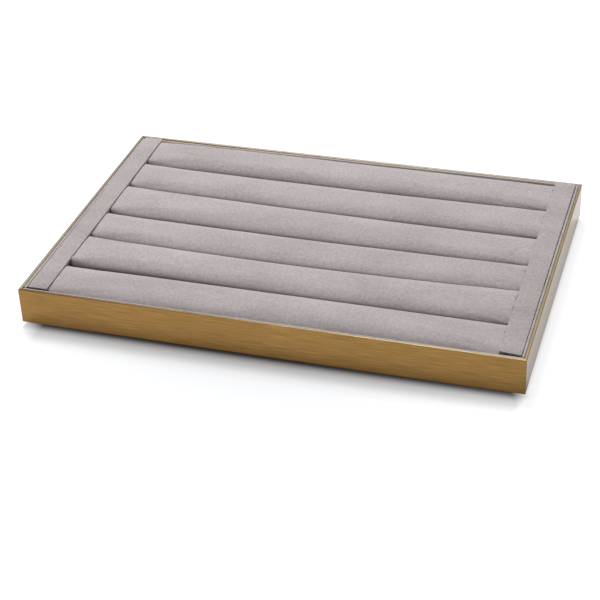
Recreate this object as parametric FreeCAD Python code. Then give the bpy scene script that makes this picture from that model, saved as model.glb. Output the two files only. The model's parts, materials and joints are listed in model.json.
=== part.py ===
import FreeCAD, Part
import math
import os

# A display tray for finger rings. A mitred metal frame holds a base board and stands on four pads.
# A loose insert lies in it: a board with a fabric-wrapped strip at each end, and between the strips
# a row of soft fabric-wrapped rolls that grip the rings in the grooves between them.
# Millimetres. The origin is on the table under the middle of the tray, +X runs along the rolls,
# +Y to the back and +Z up.

# Frame of four rails, each a tall wall with two webs at its foot
TRAY_LENGTH = 300.0
TRAY_DEPTH = 200.0
RIM_HEIGHT = 25.0
STANDOFF = 2.4
RAIL_WALL = 1.8
RAIL_REACH = 7.5
RAIL_WEB = 1.2
RIM_ROUND = 0.4
RAIL_EDGE_ROUND = 0.2

# Corner keys in the groove between the webs
KEY_LEG = 24.0
KEY_SETBACK = 0.95
KEY_EASE = 0.8
KEY_CLEARANCE = 0.05

# Base board in the same groove, with cloth under it and a felt lining on it
BASE_BOARD = 3.0
GROOVE_SLACK = 0.2
BOARD_PLAY = 0.5
UNDERSIDE_CLOTH = 0.7
CLOTH_MARGIN = 0.3
SHEET_CORNER = 1.5

# Foot pads under the base board
PAD_DIAMETER = 10.0
PAD_TAPER = 0.6
PAD_EDGE_ROUND = 0.5
PAD_FROM_END = 24.0
PAD_FROM_SIDE = 24.0

# Wall liners, standing on the upper webs
LINER = 1.5
LINER_BELOW_RIM = 0.2
LINER_GLUE = 0.2
LINER_EDGE_ROUND = 0.5
LINER_CORNER_GAP = 0.2

# Insert: its board and the two end strips
INSERT_BOARD = 1.5
INSERT_SIDE_PLAY = 0.7
INSERT_END_PLAY = 0.4
STRIP_WIDTH = 11.4
STRIP_ABOVE_RIM = 0.8
STRIP_FRONT_GAP = 1.4
STRIP_EDGE_ROUND = 0.7

# Ring rolls, numbered from the back
ROLL_COUNT = 6
ROLL_ABOVE_RIM = 1.4
ROLL_SHOULDER = 6.2
ROLL_CROWN = 80.0
ROLL_FOOT_ROUND = 2.0
ROLL_GAP = 0.3
ROLL_LEFT_GAP = 0.5
ROLL_RIGHT_GAP = 0.3
ROLL_END_TAPER = 4.0
ROLL_END_DROP = 0.4
ROLL_END_NARROWING = 0.7

# Fabric of the strips and rolls, and how far it returns under their cores
FABRIC = 0.8
FABRIC_SLACK = 0.05
STRIP_FABRIC_RETURN = 3.0
ROLL_FABRIC_RETURN = 8.0
LEAST_ROUND = 0.2

# Heights that the pieces share
web_top = STANDOFF + RAIL_WEB
board_top = web_top + BASE_BOARD
groove_top = board_top + GROOVE_SLACK
ledge = groove_top + RAIL_WEB
insert_top = ledge + INSERT_BOARD

# Half sizes, from the frame's outer faces in to the strips
frame_x = TRAY_LENGTH / 2
frame_y = TRAY_DEPTH / 2
liner_back = RAIL_WALL + LINER_GLUE
liner_face = liner_back + LINER
room_x = frame_x - liner_face
room_y = frame_y - liner_face
insert_x = room_x - INSERT_SIDE_PLAY
insert_y = room_y - INSERT_END_PLAY
strip_inner_x = insert_x - STRIP_WIDTH
roll_width = (2 * room_y - (ROLL_COUNT + 1) * ROLL_GAP) / ROLL_COUNT


def vec(x, y, z=0.0):
    return FreeCAD.Vector(x, y, z)


def rounded_wire(corners, at):
    """Closed wire through (a, b, radius) corners, where at(a, b) places a point of it in space."""
    points = [vec(a, b) for a, b, radius in corners]
    rounds = []
    for i, corner in enumerate(points):
        radius = corners[i][2]
        back = (points[i - 1] - corner).normalize()
        ahead = (points[(i + 1) % len(points)] - corner).normalize()
        half_angle = back.getAngle(ahead) / 2
        tangent = radius / math.tan(half_angle)
        sagitta = radius / math.sin(half_angle) - radius
        start = corner + back * tangent
        middle = corner + (back + ahead).normalize() * sagitta
        end = corner + ahead * tangent
        rounds.append([at(point.x, point.y) for point in (start, middle, end)])
    edges = []
    for i, (start, middle, end) in enumerate(rounds):
        edges.append(Part.LineSegment(rounds[i - 1][2], start).toShape())
        if corners[i][2] > 0:
            edges.append(Part.Arc(start, middle, end).toShape())
    return Part.Wire(edges)


def plate(corners, bottom, thickness):
    """Flat plate with the given (x, y, radius) corners."""
    wire = rounded_wire(corners, lambda x, y: vec(x, y, bottom))
    return Part.Face(wire).extrude(vec(0, 0, thickness))


def sheet(half_x, half_y, bottom, thickness):
    """Rectangular plate centred on the tray, with eased corners."""
    signs = ((-1, -1), (1, -1), (1, 1), (-1, 1))
    return plate([(x * half_x, y * half_y, SHEET_CORNER) for x, y in signs], bottom, thickness)


def bar(section, length, offset):
    """Bar along X whose (inset, height, radius) section faces out to y = -offset."""
    wire = rounded_wire(section, lambda inset, height: vec(-length / 2, inset - offset, height))
    return Part.Face(wire).extrude(vec(length, 0, 0))


def on_four_sides(front, right):
    """Pieces of all four sides, from two that are both made as the front one."""
    sides = {"front": (front, 0), "right": (right, 90), "back": (front, 180), "left": (right, 270)}
    placed = {}
    for side, (shape, degrees) in sides.items():
        placed[side] = shape.copy()
        placed[side].rotate(vec(0, 0), vec(0, 0, 1), degrees)
    return placed


def rail(length, offset):
    """Frame rail, mitred at both ends; its two webs hold the base board and the corner keys."""
    section = [
        (0, STANDOFF, RAIL_EDGE_ROUND),
        (RAIL_REACH, STANDOFF, RAIL_EDGE_ROUND),
        (RAIL_REACH, web_top, 0),
        (RAIL_WALL, web_top, 0),
        (RAIL_WALL, groove_top, 0),
        (RAIL_REACH, groove_top, 0),
        (RAIL_REACH, ledge, RAIL_EDGE_ROUND),
        (RAIL_WALL, ledge, 0),
        (RAIL_WALL, RIM_HEIGHT, RIM_ROUND),
        (0, RIM_HEIGHT, RIM_ROUND),
    ]
    outer = length / 2
    inner = outer - RAIL_REACH
    mitre = [
        (-outer, -offset, 0),
        (outer, -offset, 0),
        (inner, RAIL_REACH - offset, 0),
        (-inner, RAIL_REACH - offset, 0),
    ]
    return bar(section, length, offset).common(plate(mitre, STANDOFF, RIM_HEIGHT - STANDOFF))


def frame_corners():
    return [(x_side, y_side) for y_side in (-1, 1) for x_side in (-1, 1)]


def key_outline(x_side, y_side, grow):
    """L-shaped outline of the key in one corner of the frame, grown all round by a clearance."""
    wall = RAIL_WALL + KEY_CLEARANCE
    high_x = frame_x - wall + grow
    high_y = frame_y - wall + grow
    width = RAIL_REACH - wall - KEY_SETBACK + 2 * grow
    leg = KEY_LEG + 2 * grow
    outline = [
        (high_x, high_y),
        (high_x - leg, high_y),
        (high_x - leg, high_y - width),
        (high_x - width, high_y - width),
        (high_x - width, high_y - leg),
        (high_x, high_y - leg),
    ]
    return [(x_side * x, y_side * y, KEY_EASE) for x, y in outline]


def corner_keys():
    bottom = web_top + KEY_CLEARANCE
    height = groove_top - KEY_CLEARANCE - bottom
    return Part.makeCompound([plate(key_outline(x, y, 0), bottom, height) for x, y in frame_corners()])


def base_board():
    """Panel that sits in the rails' groove, notched at its corners to clear the keys."""
    edge = RAIL_WALL + BOARD_PLAY
    board = sheet(frame_x - edge, frame_y - edge, web_top, BASE_BOARD)
    for x, y in frame_corners():
        board = board.cut(plate(key_outline(x, y, BOARD_PLAY), web_top, BASE_BOARD))
    return board


def base_sheet(bottom, thickness):
    """Cloth or lining that fills the opening between the rails' webs."""
    edge = RAIL_REACH + CLOTH_MARGIN
    return sheet(frame_x - edge, frame_y - edge, bottom, thickness)


def foot_pads():
    """Low tapered rubber pads stuck to the underside cloth."""
    height = web_top - UNDERSIDE_CLOTH
    radius = PAD_DIAMETER / 2
    section = [(0, 0, 0), (radius - PAD_TAPER, 0, PAD_EDGE_ROUND), (radius, height, 0), (0, height, 0)]
    face = Part.Face(rounded_wire(section, lambda across, up: vec(across, 0, up)))
    pad = face.revolve(vec(0, 0), vec(0, 0, 1), 360)
    pads = []
    for x_side, y_side in frame_corners():
        copy = pad.copy()
        copy.translate(vec(x_side * (frame_x - PAD_FROM_END), y_side * (frame_y - PAD_FROM_SIDE)))
        pads.append(copy)
    return Part.makeCompound(pads)


def liner(length, offset):
    """Fabric-wrapped strip that lines one wall, its top edges rounded."""
    top = RIM_HEIGHT - LINER_BELOW_RIM
    section = [
        (liner_back, ledge, 0),
        (liner_face, ledge, 0),
        (liner_face, top, LINER_EDGE_ROUND),
        (liner_back, top, LINER_EDGE_ROUND),
    ]
    return bar(section, length, offset)


def strip_bar(x_side, inset):
    """Flat-topped bar at one end of the insert, shrunk by an inset on every face."""
    near_x = strip_inner_x + inset
    far_x = insert_x - inset
    bottom = insert_top + inset
    top = RIM_HEIGHT + STRIP_ABOVE_RIM - inset
    front = STRIP_FRONT_GAP - room_y + inset
    back = insert_y - inset
    edge = max(STRIP_EDGE_ROUND - inset, LEAST_ROUND)
    section = [(near_x, bottom, 0), (far_x, bottom, 0), (far_x, top, edge), (near_x, top, edge)]
    wire = rounded_wire(section, lambda x, z: vec(x_side * x, front, z))
    return Part.Face(wire).extrude(vec(0, back - front, 0))


def roll_wire(x, middle_y, width, bottom, top, inset):
    """Section of a roll: rounded foot, upright sides, round shoulders and a gently crowned top."""
    half = width / 2
    foot = max(ROLL_FOOT_ROUND - inset, LEAST_ROUND)
    shoulder = max(ROLL_SHOULDER - inset, LEAST_ROUND)
    crown = ROLL_CROWN - inset
    shoulder_y = half - shoulder
    lean = math.asin(shoulder_y / (crown - shoulder))
    shoulder_z = top - crown + (crown - shoulder) * math.cos(lean)

    def polar(y, z, radius, angle):
        return (y + radius * math.sin(angle), z + radius * math.cos(angle))

    outline = [
        (half - foot, bottom),
        polar(half - foot, bottom + foot, foot, math.radians(135)),
        (half, bottom + foot),
        (half, shoulder_z),
        polar(shoulder_y, shoulder_z, shoulder, (lean + math.radians(90)) / 2),
        polar(0, top - crown, crown, lean),
    ]
    front = [vec(x, middle_y - y, z) for y, z in outline]
    back = [vec(x, middle_y + y, z) for y, z in outline]
    curves = [
        Part.LineSegment(front[0], back[0]),
        Part.Arc(*back[0:3]),
        Part.LineSegment(back[2], back[3]),
        Part.Arc(*back[3:6]),
        Part.Arc(back[5], vec(x, middle_y, top), front[5]),
        Part.Arc(*front[5:2:-1]),
        Part.LineSegment(front[3], front[2]),
        Part.Arc(*front[2::-1]),
    ]
    return Part.Wire([curve.toShape() for curve in curves])


def roll_body(middle_y, inset):
    """Roll with its left end drawn in and its right end square, shrunk by an inset on every face."""
    left = ROLL_LEFT_GAP - strip_inner_x + inset
    right = strip_inner_x - ROLL_RIGHT_GAP - inset
    width = roll_width - 2 * inset
    end_width = width - 2 * ROLL_END_NARROWING
    bottom = insert_top + inset
    top = RIM_HEIGHT + ROLL_ABOVE_RIM - inset
    end_top = top - ROLL_END_DROP
    wires = [
        roll_wire(left, middle_y, end_width, bottom, end_top, inset),
        roll_wire(left + ROLL_END_TAPER, middle_y, width, bottom, top, inset),
        roll_wire(right, middle_y, width, bottom, top, inset),
    ]
    return Part.makeLoft(wires, True, True)


def wrapped(solid, fabric_return):
    """Core and fabric cover of a bar, from solid(inset); under the core only a glued return is covered."""
    core = solid(FABRIC + FABRIC_SLACK)
    outside = solid(0)
    box = outside.BoundBox
    window = Part.makeBox(
        box.XLength - 2 * fabric_return,
        box.YLength - 2 * fabric_return,
        2 * FABRIC,
        vec(box.XMin + fabric_return, box.YMin + fabric_return, box.ZMin - FABRIC / 2),
    )
    return core, outside.cut(solid(FABRIC)).cut(window)


pieces = {}
for side, shape in on_four_sides(rail(TRAY_LENGTH, frame_y), rail(TRAY_DEPTH, frame_x)).items():
    pieces[side + "_rail"] = shape
long_liner = liner(TRAY_LENGTH - 2 * liner_back, frame_y)
short_liner = liner(TRAY_DEPTH - 2 * (liner_face + LINER_CORNER_GAP), frame_x)
for side, shape in on_four_sides(long_liner, short_liner).items():
    pieces[side + "_liner"] = shape
pieces["corner_keys"] = corner_keys()
pieces["base_board"] = base_board()
pieces["underside_cloth"] = base_sheet(web_top - UNDERSIDE_CLOTH, UNDERSIDE_CLOTH)
pieces["base_lining"] = base_sheet(board_top, ledge - board_top)
pieces["foot_pads"] = foot_pads()
pieces["insert_board"] = sheet(insert_x, insert_y, ledge, INSERT_BOARD)
for side, x_side in (("left", -1), ("right", 1)):
    core, cover = wrapped(lambda inset: strip_bar(x_side, inset), STRIP_FABRIC_RETURN)
    pieces[side + "_strip_core"] = core
    pieces[side + "_strip_cover"] = cover
for number in range(1, ROLL_COUNT + 1):
    middle_y = room_y + roll_width / 2 - number * (roll_width + ROLL_GAP)
    core, cover = wrapped(lambda inset: roll_body(middle_y, inset), ROLL_FABRIC_RETURN)
    pieces[f"ring_roll_{number}_core"] = core
    pieces[f"ring_roll_{number}_cover"] = cover

os.makedirs("parts", exist_ok=True)
for name, shape in pieces.items():
    shape.exportStep(f"parts/{name}.step")
    print(name, len(shape.Solids), "solids,", round(shape.Volume), "mm3, valid:", shape.isValid())
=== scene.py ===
import json
import math

import bmesh
import bpy
from mathutils import Matrix, Vector, noise


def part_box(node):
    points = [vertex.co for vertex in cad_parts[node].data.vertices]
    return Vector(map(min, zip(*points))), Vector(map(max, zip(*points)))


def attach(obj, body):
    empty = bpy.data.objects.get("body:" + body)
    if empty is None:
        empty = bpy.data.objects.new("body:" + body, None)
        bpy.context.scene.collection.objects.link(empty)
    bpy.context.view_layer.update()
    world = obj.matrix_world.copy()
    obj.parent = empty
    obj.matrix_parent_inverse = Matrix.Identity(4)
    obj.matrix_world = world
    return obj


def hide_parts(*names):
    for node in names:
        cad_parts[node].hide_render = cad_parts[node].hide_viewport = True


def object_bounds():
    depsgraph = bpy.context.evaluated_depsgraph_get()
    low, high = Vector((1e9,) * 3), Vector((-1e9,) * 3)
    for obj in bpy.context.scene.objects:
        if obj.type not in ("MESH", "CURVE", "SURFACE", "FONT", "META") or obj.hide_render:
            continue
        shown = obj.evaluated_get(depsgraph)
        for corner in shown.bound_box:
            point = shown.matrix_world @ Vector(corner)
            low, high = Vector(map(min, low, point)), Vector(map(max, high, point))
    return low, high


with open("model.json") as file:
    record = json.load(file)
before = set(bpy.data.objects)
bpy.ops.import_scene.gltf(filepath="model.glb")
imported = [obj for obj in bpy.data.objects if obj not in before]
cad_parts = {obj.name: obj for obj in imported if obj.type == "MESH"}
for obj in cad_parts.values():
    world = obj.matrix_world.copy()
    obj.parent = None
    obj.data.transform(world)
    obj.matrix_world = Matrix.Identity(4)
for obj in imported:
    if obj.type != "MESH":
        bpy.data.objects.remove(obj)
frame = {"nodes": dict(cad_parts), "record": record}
cad_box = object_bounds()


# Frame rails
# Four lengths of thin aluminium, brushed lengthwise, anodised a muted gold and sealed with a clear coat.
# They are mitred at the corners, where keys in the groove at their foot pull them together.
# Their top rims are duller than their faces, in colours that paint the highlight and shade each rim gets;
# the faces are painted lighter towards the left end.
class Shade:
    """One value of a material. Operators on it add Math nodes, and node() adds any other node."""

    def __init__(self, tree, socket=None):
        self.tree = tree
        self.socket = socket

    def node(self, kind, settings, inputs, output=0):
        """Adds a node with its settings, feeds its sockets and gives one of its outputs."""
        made = self.tree.nodes.new("ShaderNode" + kind)
        for name, setting in settings.items():
            setattr(made, name, setting)
        self.feed(made, inputs)
        return Shade(self.tree, made.outputs[output])

    def feed(self, node, inputs):
        for name, value in inputs.items():
            if isinstance(value, Shade):
                self.tree.links.new(value.socket, node.inputs[name])
            else:
                node.inputs[name].default_value = value

    def maths(self, operation, first, second=0.0):
        return self.node("Math", {"operation": operation}, {0: first, 1: second})

    def __add__(self, other):
        return self.maths("ADD", self, other)

    def __sub__(self, other):
        return self.maths("SUBTRACT", self, other)

    def __rsub__(self, other):
        return self.maths("SUBTRACT", other, self)

    def __mul__(self, other):
        return self.maths("MULTIPLY", self, other)

    def __abs__(self):
        return self.maths("ABSOLUTE", self)

    __radd__ = __add__
    __rmul__ = __mul__

    def between(self, low, high):
        """0 up to low and 1 from high."""
        return self.node("MapRange", {"clamp": True}, {"Value": self, "From Min": low, "From Max": high})

    def tint(self, dark, light):
        """A colour that goes from dark at 0 to light at 1."""
        ends = [end if isinstance(end, Shade) else (*end, 1.0) for end in (dark, light)]
        return self.node("Mix", {"data_type": "RGBA"}, {0: self, 6: ends[0], 7: ends[1]}, 2)

    def part(self, axis):
        """One of the three numbers of a place or direction."""
        return self.node("SeparateXYZ", {}, {0: self}, axis)

    def stretched(self, scales):
        """A place or colour, each of its three numbers scaled by its own."""
        return self.node("VectorMath", {"operation": "MULTIPLY"}, {0: self, 1: scales})

    def noise(self, scale, detail):
        return self.node("TexNoise", {}, {"Vector": self, "Scale": scale, "Detail": detail})

    def bump(self, depth):
        return self.node("Bump", {}, {"Height": self, "Distance": depth}, "Normal")


def new_finish(name):
    """A new material, and the place of a point on the piece."""
    material = bpy.data.materials.new(name)
    material.use_nodes = True
    place = Shade(material.node_tree).node("TexCoord", {}, {}, "Object")
    return material, place


def set_finish(material, inputs):
    tree = material.node_tree
    Shade(tree).feed(tree.nodes["Principled BSDF"], inputs)
    return material


def coat_node(node, material):
    """Gives a CAD node its finish."""
    slots = frame["nodes"][node].data.materials
    slots.clear()
    slots.append(material)


GOLD_DARK = (0.204, 0.1045, 0.0165)
GOLD_LIGHT = (0.418, 0.2305, 0.0505)
GOLD_PAINTED_LIGHT_LEFT = (1.15, 1.1, 1.07)
GOLD_PAINTED_LIGHT_RIGHT = (1.0, 0.985, 0.96)
RIM_DULL = (0.65, 0.64, 0.6)
RIM_DARK_SIDE = (0.39, 0.38, 0.36)
DARK_SIDE_FROM = 0.0007
DARK_SIDE_TO = 0.0002
MITRE_LINE = 0.0001
MITRE_BLUR = 0.0004
BRUSH_DEPTH = 0.00007
CLEAR_COAT = 0.7


def brushed_gold(name, brush_scales, rim_left, rim_right, bare_left=0.0):
    """Gold anodised metal with fine brush lines, and a hairline where two rails meet.

    The colour of its top rim goes from rim_left to rim_right, a painted highlight and shade, and is darker
    close to the tray's left and right sides. On the top rim the coat has lost the share bare_left at the
    left end, and nothing at the right.
    """
    half_length, half_depth = cad_box[1].x, cad_box[1].y
    material, place = new_finish(name)
    lines = place.stretched(brush_scales).noise(1.0, 4.0)
    clouds = place.noise(14.0, 2.0)
    from_mitre = abs(abs(place.part("X")) - abs(place.part("Y")) - (half_length - half_depth))
    open_metal = from_mitre.between(MITRE_LINE, MITRE_BLUR)
    tone = (0.8 * lines + 0.2 * clouds).between(0.29, 0.71) * (0.35 + 0.65 * open_metal)
    faces_up = place.node("NewGeometry", {}, {}, "Normal").part("Z").between(0.1, 0.6)
    brushed = 1 - faces_up
    to_right = place.part("X").between(-half_length, half_length)
    # Painted light: the face is lighter towards the left end.
    face = tone.tint(GOLD_DARK, GOLD_LIGHT).stretched(to_right.tint(GOLD_PAINTED_LIGHT_LEFT, GOLD_PAINTED_LIGHT_RIGHT))
    # The rim is darker within a millimetre of the tray's left and right sides.
    near_sides = abs(place.part("X")).between(half_length - DARK_SIDE_FROM, half_length - DARK_SIDE_TO)
    # Painted highlight and shade: the rim's colour runs from rim_left at the left end to rim_right at the
    # right.
    rim_light = (to_right * to_right).tint(rim_left, rim_right)
    rim = near_sides.tint(tone.tint(rim_light.stretched(RIM_DULL), rim_light), rim_light.stretched(RIM_DARK_SIDE))
    return set_finish(material, {
        "Base Color": faces_up.tint(face, rim),
        "Metallic": 1.0,
        "Roughness": 0.38 - (0.06 + 0.12 * lines) * brushed,
        "Coat Weight": CLEAR_COAT * (1 - bare_left * (1 - to_right) * faces_up),
        "Coat Roughness": 0.2,
        "Normal": (lines * brushed).bump(BRUSH_DEPTH),
    })


LONG_BRUSH = 55.0
FINE_BRUSH = 1700.0
BRUSHED_ALONG_X = (LONG_BRUSH, FINE_BRUSH, FINE_BRUSH)
BRUSHED_ALONG_Y = (FINE_BRUSH, LONG_BRUSH, FINE_BRUSH)
# The rim colours paint each rim's highlight and shade: the left rim darker than the right, the front and
# back rims darker at their left ends.
LEFT_RIM = (0.21, 0.166, 0.1)
RIGHT_RIM = (0.277, 0.19, 0.078)
BACK_RIM_LEFT = (0.26, 0.207, 0.13)
BACK_RIM_RIGHT = (0.33, 0.28, 0.2)
FRONT_RIM_LEFT = (0.105, 0.06, 0.016)
FRONT_RIM_RIGHT = (0.38, 0.275, 0.135)
FRONT_RIM_BARE = 0.9
coat_node("left_rail", brushed_gold("brushed_gold_left", BRUSHED_ALONG_Y, LEFT_RIM, LEFT_RIM))
coat_node("right_rail", brushed_gold("brushed_gold_right", BRUSHED_ALONG_Y, RIGHT_RIM, RIGHT_RIM))
coat_node("back_rail", brushed_gold("brushed_gold_back", BRUSHED_ALONG_X, BACK_RIM_LEFT, BACK_RIM_RIGHT))
coat_node("front_rail", brushed_gold(
    "brushed_gold_front", BRUSHED_ALONG_X, FRONT_RIM_LEFT, FRONT_RIM_RIGHT, FRONT_RIM_BARE))


# Corner keys
# L-shaped keys stamped from zinc sheet, driven into the grooves of two rails at each mitre.
# They are hidden once the base board is in.
def dull_zinc():
    material, place = new_finish("dull_zinc")
    spangle = place.noise(420.0, 3.0)
    scuffs = place.stretched((90.0, 1400.0, 1400.0)).noise(1.0, 2.0)
    tone = (0.6 * spangle + 0.4 * scuffs).between(0.3, 0.7)
    return set_finish(material, {
        "Base Color": tone.tint((0.30, 0.30, 0.31), (0.46, 0.46, 0.48)),
        "Metallic": 1.0,
        "Roughness": 0.38 + 0.2 * spangle,
        "Normal": scuffs.bump(0.00003),
    })


coat_node("corner_keys", dull_zinc())


# Base board
# A 3 mm panel of medium-density fibreboard that sits in the rails' groove and stiffens the frame.
# It stays raw, because felt covers it above and cloth below.
def fibreboard():
    material, place = new_finish("raw_fibreboard")
    flakes = place.stretched((260.0, 420.0, 900.0)).noise(1.0, 4.0)
    dust = place.noise(1700.0, 2.0)
    clouds = place.noise(25.0, 2.0)
    tone = (0.5 * flakes + 0.3 * dust + 0.2 * clouds).between(0.35, 0.65)
    return set_finish(material, {
        "Base Color": tone.tint((0.155, 0.092, 0.046), (0.27, 0.178, 0.098)),
        "Roughness": 0.75 + 0.2 * dust,
        "Normal": (0.6 * flakes + 0.4 * dust).bump(0.00008),
    })


raw_fibreboard = fibreboard()
coat_node("base_board", raw_fibreboard)


# Underside cloth
# Dark needle felt glued under the base board, inside the rails' lower webs, so that nothing is scratched.
# Its corners are cut round by hand, and its face isn't quite flat.
def select_parts(kind, wanted):
    """Selects the vertices, edges or faces of the active mesh that wanted says yes to."""
    bpy.ops.object.mode_set(mode="EDIT")
    bpy.ops.mesh.select_mode(type=kind)
    bpy.ops.mesh.select_all(action="DESELECT")
    mesh = bmesh.from_edit_mesh(bpy.context.object.data)
    mesh.normal_update()
    parts = {"VERT": mesh.verts, "EDGE": mesh.edges, "FACE": mesh.faces}[kind]
    for part in parts:
        part.select_set(bool(wanted(part)))
    mesh.select_flush_mode()
    bmesh.update_edit_mesh(bpy.context.object.data)


def apply_all(piece):
    """Applies the modifiers of the active piece, top to bottom."""
    bpy.ops.object.mode_set(mode="OBJECT")
    for modifier in list(piece.modifiers):
        bpy.ops.object.modifier_apply(modifier=modifier.name)


def ruffle(piece, grain, depth, direction):
    """Uneven swelling of a surface, with bumps about as wide as grain."""
    clouds = bpy.data.textures.new(piece.name + "_clouds", "CLOUDS")
    clouds.noise_scale = grain
    clouds.noise_depth = 2
    swell = piece.modifiers.new("ruffle", "DISPLACE")
    swell.texture = clouds
    swell.texture_coords = "LOCAL"
    swell.direction = direction
    swell.strength = depth
    apply_all(piece)


FELT_CELL = 0.004
FELT_CORNER = 0.0015
FELT_GRAIN = 0.03


def felt_sheet(name, node, waver):
    """A sheet of felt in a node's place: a grid with cut corners, thickened down from the node's top."""
    low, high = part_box(node)
    size = high - low
    cells = [round(length / FELT_CELL) for length in size.xy]
    bpy.ops.object.select_all(action="DESELECT")
    middle = (low.x + size.x / 2, low.y + size.y / 2, high.z)
    bpy.ops.mesh.primitive_grid_add(
        x_subdivisions=cells[0], y_subdivisions=cells[1], size=1, location=middle)
    sheet = bpy.context.object
    sheet.name = name
    sheet.scale = (size.x, size.y, 1.0)
    bpy.ops.object.transform_apply(location=True, rotation=True, scale=True)
    select_parts("VERT", lambda vertex: len(vertex.link_faces) == 1)
    bpy.ops.mesh.bevel(offset=FELT_CORNER, segments=3, affect="VERTICES")
    bpy.ops.object.mode_set(mode="OBJECT")
    ruffle(sheet, FELT_GRAIN, waver, "Z")
    top = max(vertex.co.z for vertex in sheet.data.vertices)
    sheet.data.transform(Matrix.Translation((0, 0, high.z - top)))
    thickness = sheet.modifiers.new("thickness", "SOLIDIFY")
    thickness.thickness = size.z - waver
    thickness.offset = -1.0
    apply_all(sheet)
    bpy.ops.object.shade_smooth_by_angle(angle=math.radians(40))
    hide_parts(node)
    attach(sheet, "tray")
    return sheet


def felt(name, dark, light):
    """Needle felt: matted fibres that lie every way, with a faint lint on them."""
    material, place = new_finish(name)
    matting = place.stretched((500.0, 900.0, 700.0)).noise(1.0, 4.0)
    crossing = place.stretched((1300.0, 450.0, 900.0)).noise(1.0, 3.0)
    clouds = place.noise(30.0, 3.0)
    tone = (0.4 * matting + 0.35 * crossing + 0.25 * clouds).between(0.33, 0.67)
    return set_finish(material, {
        "Base Color": tone.tint(dark, light),
        "Roughness": 0.97 - 0.1 * crossing,
        "Sheen Weight": 0.25,
        "Sheen Roughness": 0.6,
        "Normal": (0.5 * matting + 0.5 * crossing).bump(0.00025),
    })


underside = felt_sheet("underside_felt", "underside_cloth", waver=0.00012)
underside.data.materials.append(felt("dark_felt", (0.022, 0.021, 0.021), (0.052, 0.05, 0.05)))
low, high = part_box("underside_cloth")


# Foot pads
# Four stick-on pads of black rubber under the base, with a rounded foot and a moulded dimple below.
# They hold the frame a little over 2 mm clear of the table.
PAD_ROUND = 0.0007
PAD_DIMPLE = 0.0004
PAD_TAPER = 0.88
PAD_RING = 0.35
PAD_SLOPE = 0.12


def pad_rubber():
    material, place = new_finish("pad_rubber")
    skin = place.noise(2200.0, 3.0)
    bloom = place.noise(160.0, 3.0)
    return set_finish(material, {
        "Base Color": (0.5 * skin + 0.5 * bloom).between(0.3, 0.7).tint((0.012,) * 3, (0.035,) * 3),
        "Roughness": 0.62 + 0.25 * bloom,
        "Normal": skin.bump(0.00006),
    })


def faces_down(face):
    return face.normal.z < -0.9


def foot_pad():
    """One pad about the origin: a disc with its foot tapered, rounded and dimpled."""
    low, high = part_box("foot_pads")
    mount = next(m for m in frame["record"]["mounts"] if m["name"] == "pad_front_left")
    radius = abs(low.x - mount["pos_m"][0])
    height = high.z - low.z
    bpy.ops.object.select_all(action="DESELECT")
    bpy.ops.mesh.primitive_cylinder_add(
        vertices=48, radius=radius, depth=height, location=(0, 0, low.z + height / 2))
    pad = bpy.context.object
    bpy.ops.object.transform_apply(location=True, rotation=True, scale=True)
    select_parts("FACE", faces_down)
    bpy.ops.transform.resize(value=(PAD_TAPER, PAD_TAPER, 1.0))
    bpy.ops.mesh.bevel(offset=PAD_ROUND, segments=4, affect="EDGES")
    select_parts("FACE", lambda face: face.normal.z < -0.99)
    bpy.ops.mesh.inset(thickness=radius * PAD_RING)
    bpy.ops.mesh.inset(thickness=radius * PAD_SLOPE, depth=-PAD_DIMPLE)
    bpy.ops.object.mode_set(mode="OBJECT")
    bpy.ops.object.shade_smooth_by_angle(angle=math.radians(35))
    return pad


rubber = pad_rubber()
first_pad = foot_pad()
for mount in frame["record"]["mounts"]:
    pad = first_pad.copy()
    pad.data = first_pad.data.copy()
    pad.name = mount["name"].replace("pad_", "foot_pad_")
    pad.data.transform(Matrix.Translation((mount["pos_m"][0], mount["pos_m"][1], 0)))
    bpy.context.scene.collection.objects.link(pad)
    pad.data.materials.append(rubber)
    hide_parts("foot_pads")
    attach(pad, "tray")
bpy.data.objects.remove(first_pad)


# Base lining
# Grey felt laid on the base board between the rails' upper webs and level with them, so that the insert
# rests flat. It shows when the insert is lifted out.
lining = felt_sheet("base_lining_felt", "base_lining", waver=0.0002)
lining.data.materials.append(felt("lining_felt", (0.235, 0.222, 0.22), (0.36, 0.342, 0.338)))
low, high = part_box("base_lining")


# Wall liners
# Strips of stiff card wrapped in the grey microfibre and glued to the inside of the rails.
# Their rounded tops stop just under the rim and show as a pale line round the insert.
def microfibre(name, dark, light, painted_shade_share, painted_shade_below, painted_shade_above):
    """Short-napped microfibre: brushed patches, a suede grain, and painted shade low down, in the grooves
    and gaps.
    """
    material, place = new_finish(name)
    strokes = place.stretched((22.0, 48.0, 48.0)).noise(1.0, 3.0)
    grain = place.noise(620.0, 3.0)
    fibres = place.stretched((1500.0, 2600.0, 2600.0)).noise(1.0, 2.0)
    tone = (0.3 * strokes + 0.4 * grain + 0.3 * fibres).between(0.32, 0.68)
    # Painted shade: the cloth's colour is darker low down, in the grooves and gaps where shade falls.
    above_painted_shade = place.part("Z").between(painted_shade_below, painted_shade_above)
    painted_shade_colour = [painted_shade_share * part for part in dark]
    return set_finish(material, {
        "Base Color": above_painted_shade.tint(painted_shade_colour, tone.tint(dark, light)),
        "Roughness": 0.95 - 0.12 * fibres,
        "Sheen Weight": 0.3,
        "Sheen Roughness": 0.45,
        "Normal": (0.55 * grain + 0.45 * fibres).bump(0.00016),
    })


def block(name, low, high):
    """A box between two corners, ready to be shaped."""
    bpy.ops.object.select_all(action="DESELECT")
    bpy.ops.mesh.primitive_cube_add(size=1, location=(low + high) / 2, scale=high - low)
    piece = bpy.context.object
    piece.name = name
    bpy.ops.object.transform_apply(location=True, rotation=True, scale=True)
    return piece


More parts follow.
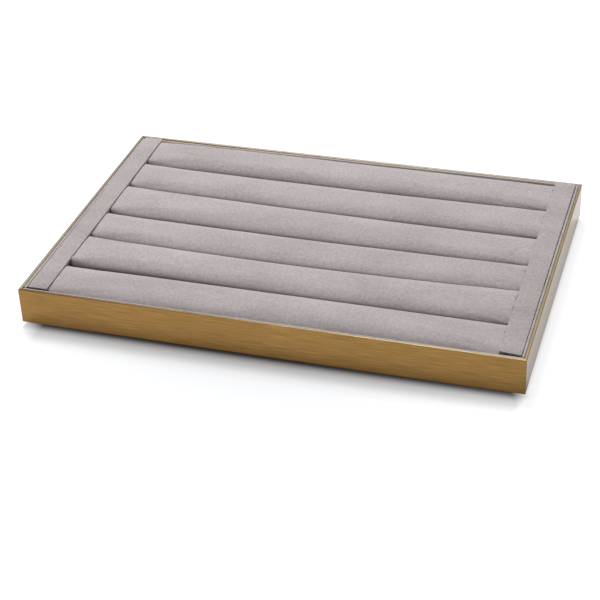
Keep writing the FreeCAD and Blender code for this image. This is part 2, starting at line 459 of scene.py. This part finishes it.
def runs_along(edge, axis):
    start, end = (vertex.co for vertex in edge.verts)
    return abs((end - start).normalized()[axis]) > 0.99


def middle_of(edge):
    start, end = (vertex.co for vertex in edge.verts)
    return (start + end) / 2


LINER_ROUND = 0.0005
LINER_SINK = {"front": 0.0004, "back": 0.0001, "left": 0.0001, "right": 0.0001}
LINER_DIP = {"front": 0.0, "back": 0.0006, "left": 0.0, "right": 0.0}
LINER_STEP = 0.005
LINER_GRAIN = 0.012
LINER_WAVER = 0.00025
SAME_PLACE = 1e-5
liner_cloth = microfibre(
    "liner_microfibre", dark=(0.32, 0.284, 0.28), light=(0.58, 0.522, 0.512),
    painted_shade_share=0.4, painted_shade_below=0.0213, painted_shade_above=0.0239)


def wall_liner(side):
    """One wrapped card strip, its face a little uneven and the inner edge of its top rounded.

    The right one is rounded on both edges, and the back one dips towards the left.
    """
    node = side + "_liner"
    low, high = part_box(node)
    high.z -= LINER_SINK[side]
    axis = 0 if side in ("front", "back") else 1
    strip = block(side + "_wall_liner", low, high)
    across = 1 - axis
    inner = min(low[across], high[across], key=abs)

    def is_rounded(edge):
        middle = middle_of(edge)
        wanted = side == "right" or abs(middle[across] - inner) < SAME_PLACE
        return wanted and runs_along(edge, axis) and middle.z > high.z - SAME_PLACE

    select_parts("EDGE", is_rounded)
    bpy.ops.mesh.bevel(offset=LINER_ROUND, segments=4, affect="EDGES")
    select_parts("EDGE", lambda edge: runs_along(edge, axis))
    bpy.ops.mesh.subdivide(number_cuts=round((high - low)[axis] / LINER_STEP))
    select_parts("EDGE", lambda edge: runs_along(edge, 2))
    bpy.ops.mesh.subdivide(number_cuts=3)
    bpy.ops.object.mode_set(mode="OBJECT")
    ruffle(strip, LINER_GRAIN, LINER_WAVER, "NORMAL")
    for vertex in strip.data.vertices:
        vertex.co = Vector(max(a, min(b, c)) for a, b, c in zip(low, high, vertex.co))
        share = (high[axis] - vertex.co[axis]) / (high[axis] - low[axis])
        vertex.co.z -= LINER_DIP[side] * share ** 2 * (vertex.co.z - low.z) / (high.z - low.z)
    bpy.ops.object.shade_smooth_by_angle(angle=math.radians(50))
    strip.data.materials.append(liner_cloth)
    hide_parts(node)
    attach(strip, "tray")


for side in ("front", "back", "left", "right"):
    wall_liner(side)


# Insert board
# A thin fibreboard panel that carries the strips and rolls. It drops loose into the frame and lies on the
# rails' upper webs and on the lining between them.
coat_node("insert_board", raw_fibreboard)


# End strips
# A flat fibreboard bar at each end of the insert, with the microfibre drawn tight over it and glued
# underneath. Its back end stands a little higher than its front, and the cloth bulges towards the rolls.
STRIP_EDGE = 0.0004
STRIP_END = 0.0004
STRIP_LIP = 0.0011
STRIP_LIP_DEEP = 0.002
STRIP_STEP = 0.006
STRIP_SKIN = 0.00075
STRIP_RETURN = 0.003
STRIP_GRAIN = 0.02
STRIP_WAVER = 0.0002
STRIP_FRONT_LIFT = -0.0003
STRIP_BACK_LIFT = 0.0006
STRIP_TIP = 0.01
STRIP_LIFT = {"left": (-0.0004, -0.0003), "right": (-0.0004, 0.0007)}
STRIP_PUFF = {"left": 0.0, "right": 0.0005}
STRIP_BULGE = {"left": (0.0, 0.0008), "right": (0.0006, 0.0)}
strip_cloth = microfibre(
    "strip_microfibre", dark=(0.31, 0.275, 0.274), light=(0.56, 0.503, 0.5),
    painted_shade_share=0.19, painted_shade_below=0.0228, painted_shade_above=0.0245)


def open_below(piece, low, high, margin, skin):
    """Opens the underside inside a glued return, and gives the cloth its thickness inwards."""
    select_parts("FACE", faces_down)
    for axis in (0, 1):
        for at in (low[axis] + margin, high[axis] - margin):
            plane = Vector((0, 0, 0))
            plane[axis] = 1.0
            bpy.ops.mesh.bisect(plane_co=plane * at, plane_no=plane)
            select_parts("FACE", faces_down)

    def in_window(face):
        middle = face.calc_center_median()
        inside = all(low[axis] + margin < middle[axis] < high[axis] - margin for axis in (0, 1))
        return inside and faces_down(face)

    select_parts("FACE", in_window)
    bpy.ops.mesh.delete(type="FACE")
    bpy.ops.object.mode_set(mode="OBJECT")
    cloth = piece.modifiers.new("cloth", "SOLIDIFY")
    cloth.thickness = skin
    cloth.offset = -1.0
    apply_all(piece)


def end_strip(side):
    """A wrapped bar with crisp edges; the fold that closes its front end stands out at the top."""
    low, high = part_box(side + "_strip_cover")
    low.x -= STRIP_BULGE[side][0]
    high.x += STRIP_BULGE[side][1]
    width = high.x - low.x
    outer_face = max(abs(low.x), abs(high.x))
    cover = block(side + "_strip_wrap", low, high)
    select_parts("EDGE", lambda edge: runs_along(edge, 1) and middle_of(edge).z > low.z + SAME_PLACE)
    bpy.ops.mesh.bevel(offset=STRIP_EDGE, segments=4, affect="EDGES")
    ends = (low.y, high.y)
    select_parts("EDGE", lambda edge: min(abs(middle_of(edge).y - end) for end in ends) < SAME_PLACE)
    bpy.ops.mesh.bevel(offset=STRIP_END, segments=2, affect="EDGES")
    select_parts("EDGE", lambda edge: runs_along(edge, 1) and edge.calc_length() > STRIP_RETURN)
    bpy.ops.mesh.subdivide(number_cuts=round((high.y - low.y) / STRIP_STEP))
    bpy.ops.mesh.select_all(action="SELECT")
    bpy.ops.mesh.bisect(plane_co=high - Vector((0, 0, STRIP_LIP_DEEP)), plane_no=(0, 0, 1))
    bpy.ops.object.mode_set(mode="OBJECT")
    ruffle(cover, STRIP_GRAIN, STRIP_WAVER, "NORMAL")
    for vertex in cover.data.vertices:
        share = (vertex.co.y - low.y) / (high.y - low.y)
        lift = (vertex.co.z - low.z) / (high.z - low.z)
        inward = (outer_face - abs(vertex.co.x)) / width
        outer, inner = STRIP_LIFT[side]
        tilt = outer + (inner - outer) * inward
        slope = STRIP_FRONT_LIFT + (STRIP_BACK_LIFT - STRIP_FRONT_LIFT) * share
        vertex.co.z += (tilt + slope) * lift
        vertex.co.x += STRIP_PUFF[side] * lift * (1 - inward)
        if share < STRIP_TIP:
            reach = 1.0 - (high.z - STRIP_END - vertex.co.z) / (STRIP_LIP_DEEP - STRIP_END)
            vertex.co.y -= STRIP_LIP * max(0.0, min(1.0, reach))
    open_below(cover, low, high, STRIP_RETURN, STRIP_SKIN)
    bpy.ops.object.shade_smooth_by_angle(angle=math.radians(35))
    cover.data.materials.append(strip_cloth)
    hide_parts(side + "_strip_cover")
    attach(cover, "insert")
    coat_node(side + "_strip_core", raw_fibreboard)


for side in ("left", "right"):
    end_strip(side)


# Ring rolls
# Six foam bars, each wrapped in microfibre that is drawn tight, folded over at the ends and glued below.
# They stand side by side in the insert, and the tight grooves between them wander, as the foam is uneven.
SHOULDER_WIDE = 0.0095
SHOULDER_DEEP = 0.0048
ROLL_FOOT = 0.002
ROLL_STEP = 0.0026
ROLL_SKIN = 0.00075
ROLL_RETURN = 0.008
LEFT_ROUND = 0.0003
RIGHT_ROUND = 0.0002
RIGHT_PUFF = 0.00025
END_TAPER = 0.014
END_DROP = 0.0006
FRONT_SQUARE = 4.5
BACK_SQUARE = 2.6
CORNER_TAPER = 0.003
CORNER_DRAW = 0.0007
SWELL = 0.0009
SWELL_FRAMES = 20
SWELL_PRESSURE = 4.0
FOLD_DEPTH = 0.0002
FOLD_START = 0.003
FOLD_SLANT = 0.55
FOLD_ABOVE = 0.006
END_FACING = 0.95
END_REACH = 0.002
WRAP_CLEAR = 0.00005
first_low, first_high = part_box("ring_roll_1_cover")
roll_middle = (first_low.y + first_high.y) / 2


def foam_bar(name, low, high):
    """A bar with wide flat shoulders, a rounded foot and crisp ends, divided into even cells.

    It is shaped too tall, so that a round bevel becomes an oval shoulder when the bar is pressed flat.
    """
    squash = SHOULDER_DEEP / SHOULDER_WIDE
    top = low.z + (high.z - low.z) / squash
    bar = block(name, low, Vector((high.x, high.y, top)))
    select_parts("EDGE", lambda edge: runs_along(edge, 0) and middle_of(edge).z > top - SAME_PLACE)
    bpy.ops.mesh.bevel(offset=SHOULDER_WIDE, segments=14, affect="EDGES")
    select_parts("EDGE", lambda edge: runs_along(edge, 0) and middle_of(edge).z < low.z + SAME_PLACE)
    bpy.ops.mesh.bevel(offset=ROLL_FOOT, segments=4, affect="EDGES")
    for end, size in ((low.x, LEFT_ROUND), (high.x, RIGHT_ROUND)):
        select_parts("EDGE", lambda edge: abs(middle_of(edge).x - end) < SAME_PLACE)
        bpy.ops.mesh.bevel(offset=size, segments=2, affect="EDGES")
    select_parts("EDGE", lambda edge: runs_along(edge, 0) and edge.calc_length() > ROLL_RETURN)
    bpy.ops.mesh.subdivide(number_cuts=round((high.x - low.x) / ROLL_STEP))
    select_parts("EDGE", lambda edge: runs_along(edge, 1) and edge.calc_length() > ROLL_RETURN)
    bpy.ops.mesh.subdivide(number_cuts=round((high.y - low.y) / ROLL_STEP))
    select_parts("EDGE", lambda edge: runs_along(edge, 2) and edge.calc_length() > ROLL_RETURN)
    bpy.ops.mesh.subdivide(number_cuts=3)
    bpy.ops.mesh.select_all(action="SELECT")
    bpy.ops.transform.resize(value=(1, 1, squash), center_override=low)
    bpy.ops.object.mode_set(mode="OBJECT")
    return bar


def pinch_end(piece, low, high):
    """Makes the left end of a roll squarer and lower, its front corner drawn in by the fold."""
    middle = (low.y + high.y) / 2
    half = (high.y - low.y) / 2
    for vertex in piece.data.vertices:
        from_end = vertex.co.x - low.x
        near = max(0.0, 1.0 - from_end / END_TAPER) ** 2
        out = (abs(vertex.co.y - middle) - half) / SHOULDER_WIDE + 1
        if vertex.co.z > high.z - SHOULDER_DEEP and 0 < out < 1:
            oval = 1 - (1 - out ** 2) ** (1 / 2)
            power = FRONT_SQUARE if vertex.co.y < middle else BACK_SQUARE
            square = 1 - (1 - out ** power) ** (1 / power)
            vertex.co.z += near * (oval - square) * SHOULDER_DEEP
        if vertex.co.y < middle and out > 0:
            vertex.co.y += CORNER_DRAW * out * max(0.0, 1.0 - from_end / CORNER_TAPER)
        vertex.co.z -= near * END_DROP * (vertex.co.z - low.z) / (high.z - low.z)


def swell(piece):
    """Blows the fabric up where it is free, above the shoulders, then eases it to a low crown."""
    scene = bpy.context.scene
    start = [vertex.co.copy() for vertex in piece.data.vertices]
    cloth = piece.modifiers.new("swell", "CLOTH")
    cloth.settings.use_pressure = True
    cloth.settings.uniform_pressure_force = SWELL_PRESSURE
    cloth.settings.effector_weights.gravity = 0.0
    cloth.settings.vertex_group_mass = "glued"
    cloth.point_cache.frame_start = 1
    cloth.point_cache.frame_end = SWELL_FRAMES
    for step in range(1, SWELL_FRAMES + 1):
        scene.frame_set(step)
    apply_all(piece)
    scene.frame_set(1)
    ease = SWELL / max((vertex.co - place).length for vertex, place in zip(piece.data.vertices, start))
    for vertex, place in zip(piece.data.vertices, start):
        vertex.co = place.lerp(vertex.co, ease)


def fold_ends(piece, low, high):
    """Creases the end faces where the fabric is folded over like a parcel, side flaps under the top."""
    for end, facing in ((low.x, -1), (high.x, 1)):
        def on_end(face):
            at_end = abs(face.calc_center_median().x - end) < END_REACH
            return at_end and face.normal.x * facing > END_FACING

        for edge, slant in ((low.y, -1), (high.y, 1)):
            select_parts("FACE", on_end)
            corner = (end, edge - slant * FOLD_START, low.z)
            bpy.ops.mesh.bisect(plane_co=corner, plane_no=(0, slant, FOLD_SLANT))
        flap = low.z + FOLD_ABOVE
        select_parts("FACE", lambda face: on_end(face) and face.calc_center_median().z > flap)
        bpy.ops.mesh.inset(thickness=FOLD_DEPTH, depth=-FOLD_DEPTH, use_individual=True)
    bpy.ops.object.mode_set(mode="OBJECT")


def first_wrap():
    """The cover of the first roll: a bar that swells above its shoulders and is open underneath."""
    low = first_low + Vector((0, 0, WRAP_CLEAR))
    high = first_high + Vector((RIGHT_PUFF, 0, -SWELL))
    wrap = foam_bar("ring_roll_wrap", low, high)
    pinch_end(wrap, low, high)
    held_below = high.z - SHOULDER_DEEP
    glued = wrap.vertex_groups.new(name="glued")
    glued.add([v.index for v in wrap.data.vertices if v.co.z < held_below], 1.0, "REPLACE")
    swell(wrap)
    fold_ends(wrap, low, high)
    open_below(wrap, low, high, ROLL_RETURN, ROLL_SKIN)
    bpy.ops.object.shade_smooth_by_angle(angle=math.radians(35))
    return wrap


def first_core():
    """The foam inside the first roll, cut to clear its cover."""
    low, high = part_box("ring_roll_1_core")
    high.z -= SWELL
    core = foam_bar("ring_roll_foam", low, high)
    pinch_end(core, low, high)
    bpy.ops.object.shade_smooth_by_angle(angle=math.radians(35))
    return core


# How far each groove strays to the back, from behind the first roll to before the last. In this table
# and the next ones a row gives the left end, the middle and the right end.
GROOVE_WANDER = (
    (0.0002, 0.0002, 0.0002),
    (0.0017, 0.0003, 0.0013),
    (0.0025, -0.0001, -0.0004),
    (-0.0001, -0.0017, -0.0006),
    (0.0018, -0.0006, 0.0021),
    (-0.0004, -0.0002, -0.0004),
    (0.0, 0.0, 0.0),
)
# How far the crest of each roll rises or falls.
CREST_WANDER = (
    (0.0008, 0.0008, 0.0004),
    (0.0003, -0.0003, 0.0),
    (0.0006, -0.0002, -0.0006),
    (0.0, -0.0008, -0.0004),
    (0.0008, -0.0001, 0.0005),
    (-0.0002, 0.0001, -0.0002),
)
# By roll: how far its back and front shoulders rise, and how far its front draws back from the groove.
BACK_RISE = {
    1: (0.0012, 0.0007, 0.0004),
    2: (-0.0004, 0.0001, 0.0),
    4: (-0.0003, 0.0005, 0.0004),
    5: (0.0, 0.0004, 0.0009),
}
FRONT_RISE = {
    1: (0.0004, 0.0002, 0.0004),
    2: (0.0, 0.0, 0.0003),
    3: (0.0004, 0.0003, 0.0005),
    4: (0.0, 0.0003, 0.0006),
    5: (0.0016, 0.0006, 0.0003),
}
FRONT_DRAW = {
    3: (0.0005, 0.0, 0.0),
    5: (0.0016, 0.0003, 0.0),
}
STRAIGHT = (0.0, 0.0, 0.0)
BACK_RISE_START = 0.1
FRONT_RISE_FROM = 0.6
LEFT_SHORT = (0.0007, 0.0007, 0.0008, 0.0007, 0.0011, 0.0007)
RIGHT_SHORT = 0.0006
RIPPLE = 0.00015
RIPPLES_ALONG = 30
RIPPLES_ACROSS = 60


def along(values, share):
    """A smooth curve through three values at the left, the middle and the right."""
    left, middle, right = values
    slope = 4 * middle - 3 * left - right
    bend = 2 * left + 2 * right - 4 * middle
    return left + share * slope + share * share * bend


def settle(mesh, number, low, high):
    """Lets one roll lean and swell as hand-cut foam does; neighbours share a groove, so none touch."""
    back_rise = BACK_RISE.get(number, STRAIGHT)
    front_rise = FRONT_RISE.get(number, STRAIGHT)
    front_draw = FRONT_DRAW.get(number, STRAIGHT)
    for vertex in mesh.vertices:
        share = (vertex.co.x - low.x) / (high.x - low.x)
        across = (high.y - vertex.co.y) / (high.y - low.y)
        lift = (vertex.co.z - low.z) / (high.z - low.z)
        back = along(GROOVE_WANDER[number - 1], share)
        front = along(GROOVE_WANDER[number], share) + along(front_draw, share)
        waves = Vector((vertex.co.x * RIPPLES_ALONG, vertex.co.y * RIPPLES_ACROSS, number))
        vertex.co.y += back + (front - back) * across
        crest = along(CREST_WANDER[number - 1], share) + RIPPLE * noise.noise(waves)
        crest += along(back_rise, share) * min(1.0, share / BACK_RISE_START) * (1 - across) ** 2
        near_front = max(0.0, (across - FRONT_RISE_FROM) / (1 - FRONT_RISE_FROM))
        crest += along(front_rise, share) * near_front ** 2
        vertex.co.z += lift * crest
        vertex.co.x += LEFT_SHORT[number - 1] * (1 - share) - RIGHT_SHORT * share


soft_cloth = microfibre(
    "grey_microfibre", dark=(0.33, 0.29, 0.29), light=(0.60, 0.54, 0.54),
    painted_shade_share=0.5, painted_shade_below=0.0207, painted_shade_above=0.0231)


def open_foam():
    material, place = new_finish("open_foam")
    cells = place.node("TexVoronoi", {}, {"Vector": place, "Scale": 900.0})
    yellowing = place.noise(40.0, 2.0)
    tone = (0.6 * cells + 0.4 * yellowing).between(0.1, 0.7)
    return set_finish(material, {
        "Base Color": tone.tint((0.42, 0.37, 0.27), (0.66, 0.61, 0.5)),
        "Roughness": 0.95,
        "Normal": cells.bump(0.0004),
    })


foam = open_foam()
wrap_pattern = first_wrap()
core_pattern = first_core()
for number in range(1, 7):
    low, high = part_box(f"ring_roll_{number}_cover")
    shift = Matrix.Translation((0, (low.y + high.y) / 2 - roll_middle, 0))
    body = f"ring_roll_{number}"
    for pattern, part, material, slot in (
        (wrap_pattern, "cover", soft_cloth, "microfibre"),
        (core_pattern, "core", foam, "foam"),
    ):
        piece = pattern.copy()
        piece.data = pattern.data.copy()
        piece.data.transform(shift)
        settle(piece.data, number, low, high)
        piece.name = f"{pattern.name}_{number}"
        bpy.context.scene.collection.objects.link(piece)
        piece.data.materials.append(material)
        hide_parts(f"{body}_{part}")
        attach(piece, body)
        part == "core"
bpy.data.objects.remove(wrap_pattern)
bpy.data.objects.remove(core_pattern)


# Floor, light and camera
# A grey table whose glow paints it white and lightens the tray's shadow, a broad soft light above and
# behind the tray, a white room that is brighter above, and a long lens that looks down on the tray from
# the front right.
FLOOR_SIZE = 9.0
TABLE_GREY = ((0.466, 0.474, 0.486), (0.47, 0.478, 0.49))
TABLE_WHITE = (0.972, 0.985, 1.0)
BLACK = (0.0, 0.0, 0.0)
# Each glow of the table: its share of white, and how far from the tray's side it starts and is full.
NEAR_GLOW = (0.3, -0.0005, 0.0055)
FAR_GLOW = (0.195, 0.0055, 0.0155)
TAIL_GLOW = (0.08, 0.026, 0.055)
LEFT_GLOW = (0.65, -0.012, 0.006)
RIGHT_GLOW = (0.8, -0.0096, 0.0017)
CORNER_GLOW = (0.3, -0.012, -0.0015)
FOOT_GLOW = (0.05, -0.002, 0.002)
# How far from the tray the glows come in, move or fade, and how strong the others are.
OUTSIDE_FRONT = (-0.004, 0.001)
OUTSIDE_LEFT = (-0.004, 0.0)
RIGHT_MOVES = (-0.005, 0.005)
RIGHT_MOVED = 0.0055
CORNER_IN = (-0.0045, -0.0026)
CORNER_OUT = (-0.0015, 0.0015)
FOOT_OUT = (0.006, 0.02)
ENDS_IN = (-0.004, 0.004)
ENDS_LEAST = 0.04
ENDS_BEND = 7.5
ENDS_MIDDLE = -0.015
AWAY_IN = (0.3, 0.9)
AWAY_SHARE = 0.2
METAL_SHARE = 0.61
METAL_OUT = (-0.02, 0.0)
METAL_DIMS = (-0.17, -0.03)
METAL_DIM = 0.07


def glow(distance, share, first, full):
    """A share of white that comes in between two distances."""
    return share * distance.between(first, full)


def white_table():
    """Grey card whose white glow, seen only by the lens and the metal, paints light into the tray's
    shadow.
    """
    material, place = new_finish("white_table")
    haze = place.noise(6.0, 2.0)
    across = place.part("X")
    past_right = across - cad_box[1].x
    past_left = -1 * across - cad_box[1].x
    beyond = abs(place.part("Y")) - cad_box[1].y
    ahead = -1 * place.part("Y") - cad_box[1].y
    # Painted light: the glows lighten the tray's shadow, more towards its ends and corners, and brighten
    # the floor the metal reflects.
    front = glow(beyond, *NEAR_GLOW) + glow(beyond, *FAR_GLOW) + glow(beyond, *TAIL_GLOW)
    right = glow(past_right - RIGHT_MOVED * ahead.between(*RIGHT_MOVES), *RIGHT_GLOW)
    outside = place.maths("MAXIMUM", beyond.between(*OUTSIDE_FRONT), past_left.between(*OUTSIDE_LEFT))
    left = glow(past_left, *LEFT_GLOW) * outside
    off_middle = across - ENDS_MIDDLE
    ends = (ENDS_LEAST + ENDS_BEND * off_middle * off_middle) * beyond.between(*ENDS_IN)
    corner = glow(past_left, *CORNER_GLOW) * (beyond.between(*CORNER_IN) - beyond.between(*CORNER_OUT))
    away = place.node("VectorMath", {"operation": "LENGTH"}, {0: place}, "Value").between(*AWAY_IN)
    for_lens = place.maths("MINIMUM", front + left + right + ends + corner, 1 - AWAY_SHARE)
    for_lens = for_lens + AWAY_SHARE * away
    dimmed = 1 - METAL_DIM * ahead.between(*METAL_DIMS)
    beside = (left + right) * (1 - ahead.between(*METAL_OUT)) * dimmed
    foot = glow(beyond, *FOOT_GLOW) - FOOT_GLOW[0] * beyond.between(*FOOT_OUT)
    for_metal = place.maths("MAXIMUM", front + foot, METAL_SHARE * beside)
    lens, metal = (place.node("LightPath", {}, {}, kind) for kind in ("Is Camera Ray", "Is Glossy Ray"))
    seen = lens * for_lens + metal * for_metal
    return set_finish(material, {
        "Base Color": haze.tint(*TABLE_GREY),
        "Roughness": 0.9,
        "Specular IOR Level": 0.1,
        "Emission Color": seen.tint(BLACK, TABLE_WHITE),
        "Emission Strength": 1.0,
    })


bpy.ops.object.select_all(action="DESELECT")
bpy.ops.mesh.primitive_plane_add(size=FLOOR_SIZE, location=(0, 0, 0))
floor = bpy.context.object
floor.name = "floor"
floor.data.materials.append(white_table())


ROOM_LOW = 0.08
ROOM_HIGH = 0.5
ROOM_TILT = math.radians(30)
ROOM_DARK_BELOW = -0.2


def white_room():
    """A room that lights the tray mostly from above and behind; the lens and the metal see it as white."""
    room = bpy.data.worlds.new("room")
    room.use_nodes = True
    sky = Shade(room.node_tree)
    direction = sky.node("TexCoord", {}, {}, "Generated")
    height = math.cos(ROOM_TILT) * direction.part("Z") + math.sin(ROOM_TILT) * direction.part("Y")
    height = height.between(ROOM_DARK_BELOW, 1.0)
    light = ROOM_LOW + (ROOM_HIGH - ROOM_LOW) * height
    kinds = ("Is Camera Ray", "Is Glossy Ray", "Is Transmission Ray")
    lens, metal, clear = (sky.node("LightPath", {}, {}, kind) for kind in kinds)
    white = (lens + metal + clear).between(0.0, 1.0)
    sky.feed(room.node_tree.nodes["Background"], {
        "Color": (1.0, 1.0, 1.0, 1.0),
        "Strength": light + white * (1 - light),
    })
    return room


bpy.context.scene.world = white_room()


def softbox(name, place, aim, width, height, watts):
    """A rectangular soft light at a place, turned to an aim."""
    bpy.ops.object.select_all(action="DESELECT")
    turn = (Vector(aim) - Vector(place)).to_track_quat("-Z", "Y").to_euler()
    bpy.ops.object.light_add(type="AREA", location=place, rotation=turn)
    lamp = bpy.context.object
    lamp.name = name
    lamp.data.shape = "RECTANGLE"
    lamp.data.size = width
    lamp.data.size_y = height
    lamp.data.energy = watts


softbox("top_light", place=(-0.34, 0.66, 1.36), aim=(0, 0, 0.02), width=0.45, height=0.8, watts=18.5)

AZIMUTH = math.radians(17.938)
ELEVATION = math.radians(33.113)
ROLL = math.radians(-2.317)
DISTANCE = 0.99695
AIM_HEIGHT = 0.01493
AIM_RIGHT = -0.00751
AIM_UP = -0.03151
LENS = 97.413
SENSOR = 36.0
turn = Matrix.Rotation(AZIMUTH, 4, "Z")
turn = turn @ Matrix.Rotation(math.pi / 2 - ELEVATION, 4, "X") @ Matrix.Rotation(ROLL, 4, "Z")
bpy.ops.object.select_all(action="DESELECT")
bpy.ops.object.camera_add()
camera = bpy.context.object
aim = Matrix.Translation((0, 0, AIM_HEIGHT))
camera.matrix_world = aim @ turn @ Matrix.Translation((AIM_RIGHT, AIM_UP, DISTANCE))
camera.data.sensor_width = SENSOR
camera.data.lens = LENS
bpy.context.scene.camera = camera
bpy.context.scene.view_settings.view_transform = "Standard"
